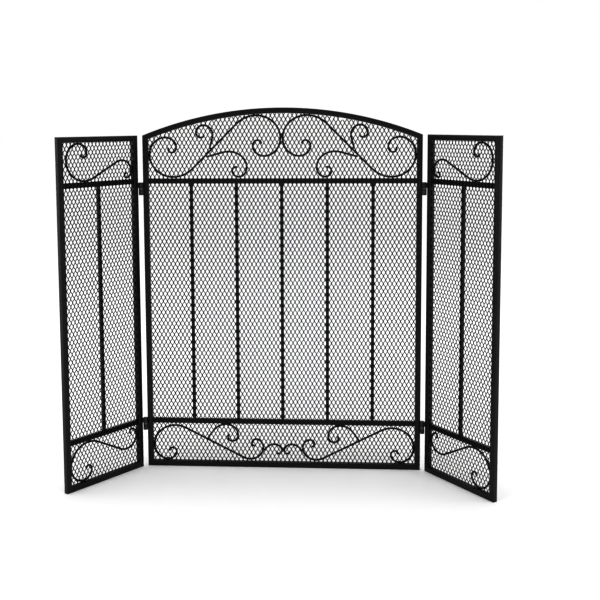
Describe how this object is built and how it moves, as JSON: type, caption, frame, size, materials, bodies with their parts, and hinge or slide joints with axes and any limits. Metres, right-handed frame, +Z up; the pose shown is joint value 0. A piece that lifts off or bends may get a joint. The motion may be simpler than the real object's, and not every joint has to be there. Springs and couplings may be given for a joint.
{
  "type": "fireplace screen",
  "caption": "Folding fireplace screen: a wide arched centre panel and two narrow hinged wings, welded square-tube frames with bars, scrolls and expanded-metal mesh.",
  "frame": {"origin": "on the floor, under the middle of the centre panel's bottom rail", "axes": "+Z up; X along the centre panel, +X to the right seen from the mesh side; -Y the mesh side, which the wings fold towards"},
  "size_m": [0.8996, 0.1886, 0.8065],
  "materials": {
    "frame_paint": "satin black powder coat on steel tube and bar",
    "scroll_paint": "satin black powder coat on round steel rod",
    "mesh_paint": "satin black powder coat on expanded steel mesh",
    "hinge_paint": "thin black paint, worn to a grey sheen on the turning knuckles",
    "hinge_steel": "bare steel pin and washer"
  },
  "bodies": {
    "centre_panel": {"centre_arch_rail": "frame_paint", "centre_bar_1": "frame_paint", "centre_bar_2": "frame_paint", "centre_bar_3": "frame_paint", "centre_bar_4": "frame_paint", "centre_bar_5": "frame_paint", "centre_bottom_rail": "frame_paint", "centre_left_bottom_curl": "scroll_paint", "centre_left_bottom_leaf": "scroll_paint", "centre_left_bottom_scroll": "scroll_paint", "centre_left_stile": "frame_paint", "centre_left_top_leaf": "scroll_paint", "centre_left_top_scroll": "scroll_paint", "centre_left_top_tendril": "scroll_paint", "centre_lower_crossbar": "frame_paint", "centre_mesh": "mesh_paint", "centre_right_bottom_curl": "scroll_paint", "centre_right_bottom_leaf": "scroll_paint", "centre_right_bottom_scroll": "scroll_paint", "centre_right_stile": "frame_paint", "centre_right_top_leaf": "scroll_paint", "centre_right_top_scroll": "scroll_paint", "centre_right_top_tendril": "scroll_paint", "centre_upper_crossbar": "frame_paint", "left_lower_hinge_centre_knuckle": "hinge_paint", "left_lower_hinge_pin": "hinge_steel", "left_lower_hinge_washer": "hinge_steel", "left_upper_hinge_centre_knuckle": "hinge_paint", "left_upper_hinge_pin": "hinge_steel", "left_upper_hinge_washer": "hinge_steel", "right_lower_hinge_centre_knuckle": "hinge_paint", "right_lower_hinge_pin": "hinge_steel", "right_lower_hinge_washer": "hinge_steel", "right_upper_hinge_centre_knuckle": "hinge_paint", "right_upper_hinge_pin": "hinge_steel", "right_upper_hinge_washer": "hinge_steel"},
    "left_wing": {"left_lower_hinge_wing_knuckle": "hinge_paint", "left_upper_hinge_wing_knuckle": "hinge_paint", "left_wing_bar": "frame_paint", "left_wing_bottom_rail": "frame_paint", "left_wing_bottom_scroll": "scroll_paint", "left_wing_hinge_stile": "frame_paint", "left_wing_lower_crossbar": "frame_paint", "left_wing_mesh": "mesh_paint", "left_wing_outer_stile": "frame_paint", "left_wing_top_rail": "frame_paint", "left_wing_top_scroll": "scroll_paint", "left_wing_upper_crossbar": "frame_paint"},
    "right_wing": {"right_lower_hinge_wing_knuckle": "hinge_paint", "right_upper_hinge_wing_knuckle": "hinge_paint", "right_wing_bar": "frame_paint", "right_wing_bottom_rail": "frame_paint", "right_wing_bottom_scroll": "scroll_paint", "right_wing_hinge_stile": "frame_paint", "right_wing_lower_crossbar": "frame_paint", "right_wing_mesh": "mesh_paint", "right_wing_outer_stile": "frame_paint", "right_wing_top_rail": "frame_paint", "right_wing_top_scroll": "scroll_paint", "right_wing_upper_crossbar": "frame_paint"}
  },
  "joints": [
    {"name": "left_wing_fold", "type": "hinge", "parent": "centre_panel", "child": "left_wing", "pos_m": [-0.31, -0.00988, 0.36], "axis": [0, 0, 1], "range_deg": [-74, 126]},
    {"name": "right_wing_fold", "type": "hinge", "parent": "centre_panel", "child": "right_wing", "pos_m": [0.31, -0.00988, 0.36], "axis": [0, 0, -1], "range_deg": [-74, 126]}
  ]
}
